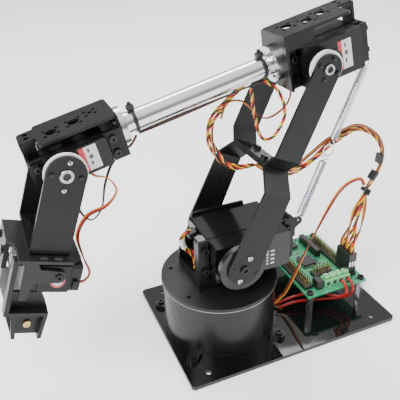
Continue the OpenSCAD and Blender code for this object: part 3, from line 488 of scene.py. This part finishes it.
def lead(name, path, draw, body, nodes, blend=None):
    """One lead along path, its wires drawn by draw(build, line)."""
    line = even(curve(path, CURVE_STEPS), LEAD_STEP)
    build = Build()
    draw(build, line)
    return declare(build.object(name), body, nodes, blend)


lead("lead_wrist_wires", WRIST_PATH,
     lambda b, line: ribbon(b, line, ("lead_brown", "lead_black"), 0.5, phase=0.8, turns=0.6),
     "forearm", ["lead_wrist"])
lead("lead_gripper_wires", GRIPPER_PATH,
     lambda b, line: ribbon(b, line, RIBBON, 0.48, phase=1.2, turns=0.9),
     "hand", ["lead_gripper"], blend=("hand", "forearm", (-106, -16, 122), (-80, -4, 148)))
lead("lead_loop_wires", LOOP_PATH,
     lambda b, line: strands(b, line, TWISTED, 0.62, 0.68, 9.0),
     "forearm", ["lead_loops"])
lead("lead_thin_wires", THIN_PATH,
     lambda b, line: ribbon(b, line, ("lead_orange", "lead_brown"), 0.42, phase=0.4, turns=0.7),
     "forearm", ["lead_loops"])


def draw_elbow(b, line):
    strands(b, line, TWISTED, 0.6, 0.66, 9.5, offset=wander(1.6, 0.0))
    strands(b, line, TWISTED, 0.6, 0.66, 10.5, phase=1.1, offset=wander(1.9, 2.4))
    ribbon(b, line, ("lead_black", "lead_orange"), 0.5, phase=2.0, turns=1, offset=wander(2.2, 4.3))


def draw_upper(b, line):
    strands(b, line, TWISTED, 0.55, 0.6, 10.0, offset=wander(2.5, 0.4, 1.2))
    strands(b, line, TWISTED, 0.55, 0.6, 11.0, phase=0.9, offset=wander(2.8, 1.9, 1.0))
    ribbon(b, line, RIBBON, 0.48, phase=0.4, turns=1.2, offset=wander(3.0, 3.3, 0.8))
    ribbon(b, line, ("lead_brown", "lead_orange", "lead_black"), 0.45, phase=1.8, turns=0.9,
           offset=wander(2.8, 4.9, 0.9))


lead("lead_elbow_wires", ELBOW_PATH, draw_elbow, "forearm", ["lead_elbow"],
     blend=("forearm", "upper_arm", (12, 4, 188), (6, 1, 143)))
lead("lead_upper_wires", UPPER_PATH, draw_upper, "turntable", ["lead_upper"],
     blend=("upper_arm", "turntable", (45, -2, 128), (120, -10, 148)))
lead("lead_base_wires", BASE_PATH,
     lambda b, line: ribbon(b, line, ("lead_yellow", "lead_red", "lead_brown"), 0.5, phase=0.2, turns=0.7),
     "turntable", ["lead_base"], blend=("base", "turntable", (62, -10, 28), (112, -10, 106)))
lead("lead_shoulder_wires", SHOULDER_PATH,
     lambda b, line: (strands(b, line, TWISTED, 0.62, 0.68, 8.0, offset=wander(1.0, 0)),
                   strands(b, line, TWISTED, 0.55, 0.6, 8.5, phase=1.4, offset=wander(1.2, 3.0))),
     "turntable", ["lead_shoulder"])

# the leads part below the tie and go down to their plugs
BOW = (0.2, 1.0, 0.5, 0.0, 0.8, 0.35)      # how far each lead bows out towards +X
for k, (y, out) in enumerate(zip(PLUG_Y, BOW)):
    swing = (k - 2.5) / 2.5
    fan = [(126 + 0.5 * swing, -10 + 0.6 * k - 1.5, 94), (117.5 + 9 * out, -10 + 1.6 * swing, 79),
           (112.6 + 7.5 * out, y + 0.3 * (-12 - y), 62), (PLUG_X + 0.8 * out, y, 51),
           (PLUG_X, y, PLUG_TOP - 0.8)]
    lead(f"lead_plug_wires_{k + 1}", fan,
         (lambda b, line: strands(b, line, TWISTED, 0.55, 0.64, 13.0)) if k % 2 == 0 else
         (lambda b, line: ribbon(b, line, ("lead_yellow", "lead_orange", "lead_brown"), 0.5,
                                 phase=0.7, turns=0.8)),
         "turntable", ["lead_board"],
         blend=("base", "turntable", (PLUG_X, y, 52), (124, -10, 88)))

for k in range(2):
    path = [(104 - 6 * k, -26.5, 26.8), (104 - 6 * k, -31, 26.5), (103.5 - 6 * k, -34.5, 20),
            (100 - 5 * k, -30, 12 + 2 * k), (80, -21 + 4 * k, 9 + 4 * k), (62, -16 + 3 * k, 9 + 3 * k),
            (47, -13 + 4.5 * k, 5.2)]
    lead(f"power_lead_{k + 1}", path, lambda b, line: b.tube(line, 1.15, "power_red", n=12),
         "base", ["power_leads"])

tube_line = even([AT_ELBOW @ Vector((-125.5, 0, -4.5)), AT_ELBOW @ Vector((-28, 0, -4.5))], 2)
tube_build = Build()
ribbon(tube_build, tube_line, ("lead_black", "lead_brown", "lead_black"), 0.45, turns=0.5)
declare(tube_build.object("lead_under_tube"), "forearm", ["lead_tube"])

# ---------------------------------------------------------------- counter-springs
SPRING_Y = -12.5
LOW_HOOK = Vector((62, SPRING_Y, 86))
TOP_HOOK = AT_ELBOW @ Vector((44, 0, -15.5))
TOP_HOOK.y = SPRING_Y
HOOKS = TOP_HOOK - LOW_HOOK
COIL_R, COIL_PITCH, WIRE_R, HOOK_R = 2.75, 1.25, 0.42, 2.1
HOOK_ROOM = 0.7         # from a coil's end to its hook
END_GAP, RING_GAP = 4.6, 8.6    # from a coil's end to its anchor and to the ring
AT_SPRING = Matrix.Translation(LOW_HOOK) @ Matrix.Rotation(math.atan2(HOOKS.x, HOOKS.z), 4, "Y")


def spring_line(z0, z1):
    """Close-wound coil from z0 to z1 on the springs' axis, with a round hook at each end."""
    turns = round((z1 - z0) / COIL_PITCH)
    line = []
    for i in range(15):                     # lower hook, open at its side
        a = math.radians(-215 + 305 * i / 14)
        line.append(Vector((HOOK_R * math.cos(a), 0, z0 - HOOK_R - HOOK_ROOM + HOOK_R * math.sin(a))))
    steps = turns * 12
    for i in range(steps + 1):
        a = 2 * math.pi * i / 12
        grow = min(1, (i + 2) / 6, (steps - i + 2) / 6)
        r = COIL_R * grow
        line.append(Vector((r * math.sin(a), r * math.cos(a), z0 + (z1 - z0) * i / steps)))
    for i in range(15):
        a = math.radians(-90 + 305 * i / 14)
        line.append(Vector((HOOK_R * math.cos(a), 0, z1 + HOOK_R + HOOK_ROOM + HOOK_R * math.sin(a))))
    return [AT_SPRING @ p for p in line]


def spring(name, z0, z1, node):
    b = Build()
    b.tube(spring_line(z0, z1), WIRE_R, "spring", n=6)
    o = b.object(name)
    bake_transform(o)
    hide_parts(node)


RING_Z = HOOKS.length * 0.46       # the ring between the two springs
spring("lower_spring", END_GAP, RING_Z - RING_GAP, "spring_lower")
spring("upper_spring", RING_Z + RING_GAP, HOOKS.length - END_GAP, "spring_upper")
ring_build = Build()
ring_build.lathe([(4.6 + 0.5 * math.cos(2 * math.pi * i / 12), 0.5 * math.sin(2 * math.pi * i / 12))
                  for i in range(12)], "spring", AT_SPRING @ Matrix.Translation((0, 0, RING_Z))
                 @ Matrix.Rotation(math.pi / 2, 4, "X"), n=40, closed=True)
put(ring_build.object("spring_join_ring"), "upper_arm", "spring_ring", slot="spring_steel")

# ---------------------------------------------------------------- control board
TOP = 23.6              # the board's upper face
PITCH = 2.54            # between pins
PIN_HALF, PIN_DOWN, PIN_UP = 0.32, 2.4, 8.3
STRIP = 2.5             # height of a header's plastic
b = Build()


def pin_grid(x0, x1, nx, y0, y1, ny):
    for i in range(nx):
        for j in range(ny):
            x = x0 + (x1 - x0) * (i / (nx - 1) if nx > 1 else 0.5)
            y = y0 + (y1 - y0) * (j / (ny - 1) if ny > 1 else 0.5)
            b.box((x - PIN_HALF, y - PIN_HALF, TOP - PIN_DOWN), (x + PIN_HALF, y + PIN_HALF, TOP + PIN_UP),
                  "pin", chamfer=0.12)


b.box((66, -22, TOP), (74, 24, TOP + STRIP), "black_plastic", chamfer=0.25)
pin_grid(67.46, 72.54, 3, -20.7, 22.7, 18)
b.box((PLUG_X - 4, -22.4, TOP), (PLUG_X + 4, 36, TOP + STRIP), "black_plastic", chamfer=0.25)
pin_grid(PLUG_X - PITCH, PLUG_X + PITCH, 3, -2.4, 34.4, 15)
b.box((82, -12.4, TOP), (100, -4.6, TOP + STRIP), "black_plastic", chamfer=0.25)
pin_grid(83.4, 98.6, 7, -11, -6, 3)
b.box((99.5, 12, TOP), (104.5, 40, TOP + 7), "black_plastic", chamfer=0.4)
b.box((101.3, 13, TOP + 6.6), (102.7, 39, TOP + 7.05), "label_grey", chamfer=0.05)
put(b.object("board_pin_headers"), "base", "board_headers", slot="black_parts")

b = Build()
for y in PLUG_Y:
    b.box((PLUG_X - 3.85, y - 1.22, TOP + 2.6), (PLUG_X + 3.85, y + 1.22, PLUG_TOP),
          "black_plastic", chamfer=0.3)
    for x in (-PITCH, 0, PITCH):
        b.box((PLUG_X + x - 0.75, y - 1.27, TOP + 9), (PLUG_X + x + 0.75, y - 1.15, TOP + 14),
              "solder", chamfer=0.05)
    b.box((PLUG_X - 3.3, y - 0.95, PLUG_TOP - 0.4), (PLUG_X + 3.3, y + 0.95, PLUG_TOP - 0.02),
          "chip", chamfer=0.1)
put(b.object("board_lead_plugs"), "base", "board_plugs", slot="black_parts")

b = Build()
b.box((81.8, 2.8, TOP + 0.9), (94.2, 15.2, TOP + 2.9), "chip", chamfer=0.35)
for k in range(10):
    at = 3.9 + 1.15 * k
    for lo, hi in (((80.9, at - 0.22, TOP), (82.2, at + 0.22, TOP + 1.7)),
                   ((93.8, at - 0.22, TOP), (95.1, at + 0.22, TOP + 1.7)),
                   ((78.9 + at - 0.22, 1.9, TOP), (78.9 + at + 0.22, 3.2, TOP + 1.7)),
                   ((78.9 + at - 0.22, 14.8, TOP), (78.9 + at + 0.22, 16.1, TOP + 1.7))):
        b.box(lo, hi, "solder", chamfer=0.1)
b.lathe([(0, 2.95), (0.6, 2.95)], "label_grey", Matrix.Translation((83.2, 4.2, TOP)), n=12)
b.box((75, -26.5, TOP), (81, -18.5, TOP + 8), "black_plastic", chamfer=0.5)
b.box((76.4, -26.56, TOP + 2), (79.6, -25.9, TOP + 6.4), "chip", chamfer=0.1)
b.box((83, 30, TOP), (93, 38, TOP + 3), "chip", chamfer=0.4)
for k in range(4):
    for y in (29.2, 38.2):
        b.box((84 + 2.3 * k, y, TOP), (84.7 + 2.3 * k, y + 0.6, TOP + 1.6), "solder", chamfer=0.1)
b.lathe([(0, 0), (3, 0), (3, 6.2), (2.7, 6.9), (2.4, 7)], "chip", Matrix.Translation((78.5, 38, TOP)), n=28)
b.lathe([(2.4, 7), (0, 7)], "solder", Matrix.Translation((78.5, 38, TOP)), n=28)
# small parts: crystal, resistors, condensers and two lamps
b.box((90, -16.6, TOP), (100, -13.2, TOP + 3.3), "solder", chamfer=1.1)
for x, y in ((97, 4), (97, 7), (97, 10), (77.5, 8), (77.5, 12), (86, 19), (90, 19), (94, 21), (88, 24),
             (106, 41), (98, 42.5), (104, -27.5), (107, -29), (112, -26.5)):
    b.box((x - 1, y - 0.6, TOP), (x + 1, y + 0.6, TOP + 0.6), "chip", chamfer=0.1)
    for s in (-1, 1):
        b.box((x + s * 1.25 - 0.3, y - 0.62, TOP), (x + s * 1.25 + 0.3, y + 0.62, TOP + 0.5),
              "solder", chamfer=0.1)
for x, y, key in ((80.5, 28, "lead_orange"), (84, -2, "terminal"), (103, -3, "lead_yellow")):
    b.box((x - 1, y - 0.6, TOP), (x + 1, y + 0.6, TOP + 0.9), key, chamfer=0.2)
put(b.object("board_fine_parts"), "base", "board_chips", slot="black_parts")

b = Build()
for k in range(4):
    x0 = 83 + 6 * k
    b.box((x0, -26, TOP), (x0 + 5.92, -18, TOP + 6.2), "terminal", chamfer=0.35)
    b.box((x0 + 0.15, -24.4, TOP + 6), (x0 + 5.77, -19.6, TOP + 9.9), "terminal", chamfer=1.1)
    # painted shade: the dark cup round each screw, the dark bar across its head and the dark patch on the front
    # face stand in for the shade in the screw's hole, its slot and the wire opening
    b.lathe([(1.75, 9.95), (1.75, 9.7), (0, 9.7)], "chip", Matrix.Translation((x0 + 3, -22, TOP)), n=20)
    b.lathe([(0, 9.96), (1.35, 9.96), (1.5, 9.75)], "solder", Matrix.Translation((x0 + 3, -22, TOP)), n=20)
    b.box((x0 + 1.7, -22.2, TOP + 9.95), (x0 + 4.3, -21.8, TOP + 10.0), "chip", chamfer=0.02)
    b.box((x0 + 1.3, -26.06, TOP + 1.4), (x0 + 4.6, -25.9, TOP + 4.8), "chip", chamfer=0.03)
put(b.object("screw_terminal"), "base", "board_terminal", slot="green_terminal")

# ---------------------------------------------------------------- labels on the servos, without any print
def label(name, matrix, corners, y, split, body):
    """Thin label on the face at y: red up to split, white beyond; corners are (x, z)."""
    (a0, c0), (a1, c1) = corners
    b = Build()
    mid = a0 + (a1 - a0) * split
    for lo, hi, key in ((a0, mid, "label_red"), (mid, a1, "label_white")):
        b.box((lo, y - 0.12, c0), (hi, y + 0.05, c1), key, matrix, chamfer=0.04)
    for k in range(3):                     # plain bars where a real one has its print
        z = c0 + (c1 - c0) * (0.2 + 0.27 * k)
        b.box((mid + (a1 - mid) * 0.25, y - 0.14, z),
              (mid + (a1 - mid) * (0.42 + 0.14 * (k % 2)), y, z + (c1 - c0) * 0.16),
              "label_grey", matrix, chamfer=0.02)
    put(b.object(name), body)


label("elbow_servo_label", AT_ELBOW, ((15.6, -10), (26, 10.4)), -21.0, 0.28, "forearm")
label("wrist_servo_label", AT_WRIST_UNIT, ((11.6, -7.4), (23, 8.6)), -17.0, 0.3, "forearm")
b = Build()
for x0, x1, n in ((26.6, 28.4, 5), (30.2, 33.4, 4)):   # faint moulded ticks, not letters
    for k in range(n):
        z = 64.5 + k * 14 / n
        b.box((x0, -27.1, z), (x1, -26.95, z + 1.6), "label_white", chamfer=0.03)
put(b.object("shoulder_servo_marks"), "turntable")
b = Build()
round_label = AT_GRIP @ Matrix.Translation((5.4, -30.6, -1.6)) @ Matrix.Rotation(math.pi / 2, 4, "X")
b.lathe([(0, 0.1), (4.6, 0.1), (4.7, 0)], "label_white", round_label, n=36, smooth=False)
b.lathe([(3.3, 0.12), (4.6, 0.12)], "label_red", round_label, n=36, smooth=False)
put(b.object("gripper_servo_label"), "hand")

# ---------------------------------------------------------------- cable ties, plug and sleeve
def tie(build, matrix, r, tail, head_at=90):
    """Ratchet tie round the X axis: band, head and cut tail."""
    turn = Matrix.Rotation(math.radians(90), 4, "Y")
    width = 2.6
    build.lathe([(r, -width / 2), (r + 0.9, -width / 2 + 0.15), (r + 1.0, 0), (r + 0.9, width / 2 - 0.15),
                 (r, width / 2)], "black_plastic", matrix @ turn, n=36, closed=True)
    head = matrix @ Matrix.Rotation(math.radians(head_at - 90), 4, "X")
    build.box((-2.5, -2.4, r + 0.7), (2.5, 2.4, r + 4.1), "black_plastic", head, chamfer=0.6)
    build.box((-1.3, -1.3, r + 4.0), (1.3, 1.3, r + 4.4), "black_plastic", head, chamfer=0.2)
    build.box((-1.25, -0.9, r + 4.0), (1.25, 0.3, r + 4.0 + tail), "black_plastic", head, chamfer=0.25)


b = Build()
for x in (-31.5, -126.0):
    tie(b, AT_ELBOW @ Matrix.Translation((x, 0, 5)), 7.05, tail=2.2)
put(b.object("tube_cable_ties"), "forearm", "tube_ties", slot="black_parts")

b = Build()
tie_at = Matrix.Translation((126.4, -10, 96)) @ Matrix.Rotation(math.radians(-65), 4, "Y")
tie(b, tie_at, 3.2, tail=4.0, head_at=150)
put(b.object("lead_bundle_tie"), "turntable")
b = Build()
for x, z, lean_by in ((136.2, 122, 6), (132.0, 108, 35)):
    m = Matrix.Translation((x, -10, z)) @ Matrix.Rotation(math.radians(lean_by), 4, "Y")
    b.box((-1.6, -3.4, -4), (1.6, 3.4, 4), "black_plastic", m, chamfer=0.5)
put(b.object("lead_joint_plugs"), "turntable")

b = Build()
m = Matrix.Translation((-19.0, 6.5, 86.0)) @ Matrix.Rotation(math.radians(-14), 4, "Y")
b.box((-3.6, -4, -2.3), (3.6, 4, 2.3), "black_plastic", m, chamfer=0.5)
b.tube([Vector((-27.1, 5.9, 83)), Vector((-27.0, 5.7, 79)), Vector((-25.6, 5, 75.5))], 2.3, "sleeve", n=14)
put(b.object("shoulder_lead_plug"), "turntable")

# ---------------------------------------------------------------- screws that hold the arms on their horns
FACING = Matrix.Rotation(math.pi / 2, 4, "X")      # turns +Z to face the near side
SHANK_R, SHANK = 1.2, 4.0
HEAD_H = 1.3


def cross_screw(build, matrix, r, h, mat):
    """Domed screw with a cross recess drawn as a dark cross of painted shade, its head above z = 0."""
    build.lathe([(0, h), (r * 0.55, h), (r * 0.9, h * 0.75), (r, h * 0.35), (r, 0),
                 (SHANK_R, 0), (SHANK_R, -SHANK), (0, -SHANK)], mat, matrix, n=28)
    # painted shade: the cross recess is a thin dark cross laid on the dome, standing in for the shade in its
    # hollow
    for a, c in ((r * 0.55, r * 0.13), (r * 0.13, r * 0.55)):
        build.box((-a, -c, h - 0.1), (a, c, h + 0.02), "black_plastic", matrix, chamfer=0.02)


def hub(name, frame_at, y, ring, turn, looks, r, centre, body, node):
    """Fasteners of one arm on its horn: a ring of screws or empty holes and the centre screw's collar."""
    b = Build()
    for k, mat in enumerate(looks):
        a = math.radians(turn + 90 * k)
        m = frame_at @ Matrix.Translation((ring * math.cos(a), y, ring * math.sin(a))) @ FACING
        if mat == "hole":
            b.lathe([(0, -0.6), (1.3, -0.6), (1.3, 0.02), (1.5, 0.02)], "black_plastic", m, n=24)
        else:
            cross_screw(b, m, r, HEAD_H, mat)
    m = frame_at @ Matrix.Translation((0, y, 0)) @ FACING
    r_in, r_out, h, mat = centre
    b.lathe([(0, 0.1), (r_in, 0.1), (r_in, h - 0.2), (r_in + 0.2, h), (r_out - 0.3, h), (r_out, h - 0.3),
             (r_out, 0)], mat, m, n=36)
    # painted shade: a dark disc fills the bottom of the collar's hollow, where shade falls
    b.lathe([(0, 0.3), (r_in - 0.05, 0.3)], "black_plastic", m, n=24)
    put(b.object(name), body, node, slot="screw_steel")


hub("wrist_hub_fasteners", AT_WRIST, -26.5, 9, 90, ("steel", "black_steel", "steel", "black_steel"), 1.6,
    (2.4, 4.4, 1.2, "dull_steel"), "hand", "wrist_hub_screws")
hub("elbow_hub_fasteners", AT_SHOULDER @ Matrix.Translation((0, 0, UPPER)), -32, 7.4, 90,
    ("black_steel",) * 4, 1.6, (2.1, 3.7, 1.5, "dull_steel"), "upper_arm", "arm_hub_screws")
hub("shoulder_hub_fasteners", AT_SHOULDER, -38, 9.5, 0, ("hole", "steel", "hole", "steel"), 2.1,
    (1.6, 3.3, 1.6, "black_steel"), "upper_arm", "arm_hub_screws")

# ---------------------------------------------------------------- gripper drive with teeth
b = Build()
teeth, r_in, r_out = 18, 7.0, 8.1
front, rear = -19.75, -17.15
outline = []
for k in range(teeth):
    for share, r in ((-0.30, r_in), (-0.16, r_out), (0.16, r_out), (0.30, r_in)):
        a = 2 * math.pi * (k + share) / teeth
        outline.append((r * math.cos(a), r * math.sin(a)))
n = len(outline)
verts = [(x, y, z) for x in (front, rear) for y, z in outline]
b.add(verts, [list(range(n)), [n + i for i in range(n)][::-1]]
      + [[i, n + i, n + (i + 1) % n, (i + 1) % n] for i in range(n)], "white", AT_GRIP)
b.lathe([(1.4, -20.1), (2.6, -20.1), (2.8, -19.7), (2.8, -17.2), (1.4, -17.2)], "steel",
        AT_GRIP @ Matrix.Rotation(math.radians(90), 4, "Y"), n=24, closed=True)
put(b.object("gripper_gear"), "pinion", "gripper_pinion", slot="white_horn")

# ---------------------------------------------------------------- finger screws
for side, at_y, body in ((-1, -22.4, "near_finger"), (1, 6.4, "far_finger")):
    b = Build()
    m = AT_GRIP @ Matrix.Translation((-6, at_y, -39)) @ Matrix.Rotation(side * -math.pi / 2, 4, "X")
    b.lathe([(0, 1.2), (0.7, 1.2), (0.75, 1.5), (2.2, 1.5), (2.6, 1.2), (2.7, 0.1), (1.5, 0.0), (1.5, -2.2),
             (0, -2.2)], "brass", m, n=28)
    put(b.object("finger_screw_" + body), body)

# painted highlight: a lighter metal ring on the disc's rim stands in for where its edge catches the light
b = Build()
b.lathe([(45.02, 45.85), (45.22, 45.95), (45.22, 46.35), (45.02, 46.45)], "edge", None, n=160)
put(b.object("disc_rim_painted_highlight"), "turntable")

# ---------------------------------------------------------------- materials of the CAD nodes that stay
LOOKS = {
    "plate": ["base_plate"],
    "can": ["base_can"],
    "disc": ["turntable_disc"],
    "steel": ["board_standoffs", "hub_screws"],
    "black_steel": ["can_screws", "board_screws", "turntable_screws", "shoulder_servo_screws", "web_screws",
                    "forearm_servo_screws", "gripper_screws"],
    "case": ["base_servo", "elbow_servo", "wrist_servo", "gripper_servo"],
    "gloss_case": ["shoulder_servo"],
    "board": ["board"],
    "horn_black": ["shoulder_horn"],
    "white": ["turntable_horn", "elbow_horn", "wrist_horn"],
    "anodised": ["shoulder_bracket", "spring_anchor", "lower_bracket", "upper_bracket", "elbow_bracket",
                 "wrist_bracket", "hand_bracket"],
    "hub": ["shoulder_idler", "elbow_idler", "wrist_idler", "tube_hubs"],
    "tube": ["forearm_tube"],
    "grey": ["gripper_plate"],
    "finger_dark": ["gripper_frame"],
    "finger": ["finger_near"],
    "finger_grey": ["finger_far"],
}
for key, names in LOOKS.items():
    for name in names:
        slots = NODES[name].material_slots
        if slots:
            for s in slots:
                s.material = M[key]
        else:
            NODES[name].data.materials.append(M[key])

# ---------------------------------------------------------------- studio
bpy.ops.mesh.primitive_plane_add(size=30, location=(0, 0, 0))
floor = bpy.context.object
floor.name = "floor"
pale = surface("pale_floor", (0.93, 0.93, 0.93), 0.8, vary=0.01, rough_vary=0.03, patch=6, bump=0.02)
glow = pale.node_tree.nodes["Principled BSDF"]        # a faint glow brings it near the photo's white
glow.inputs["Emission Color"].default_value = (1, 1, 1, 1)
glow.inputs["Emission Strength"].default_value = 0.28
floor.data.materials.append(pale)

world = bpy.context.scene.world or bpy.data.worlds.new("world")
bpy.context.scene.world = world
world.use_nodes = True
# white overhead, darker towards the horizon, so that black faces stay black
nt = world.node_tree
sky = nt.nodes.new("ShaderNodeTexCoord")
split = nt.nodes.new("ShaderNodeSeparateXYZ")
nt.links.new(sky.outputs["Generated"], split.inputs["Vector"])
nt.links.new(ramp(nt, split.outputs["Z"], [(0.0, (0.16, 0.165, 0.17)), (0.35, (0.22, 0.225, 0.23)),
                                           (0.75, (1.0, 1.0, 1.0))]),
             nt.nodes["Background"].inputs["Color"])
nt.nodes["Background"].inputs["Strength"].default_value = 1.35

LIT = (0, 0, 0.1)       # where the lamps point


def area(name, at, size, power):
    light = bpy.data.lights.new(name, "AREA")
    light.shape = "RECTANGLE"
    light.size, light.size_y = size
    light.energy = power
    o = bpy.data.objects.new(name, light)
    COLLECTION.objects.link(o)
    o.location = at
    o.rotation_euler = (Vector(LIT) - Vector(at)).to_track_quat("-Z", "Y").to_euler()


area("key", (-1.1, -0.5, 1.5), (1.0, 1.0), 46)
area("fill", (1.3, -0.7, 0.9), (0.7, 0.9), 9)
area("rear", (0.2, 1.0, 1.7), (1.6, 0.8), 30)
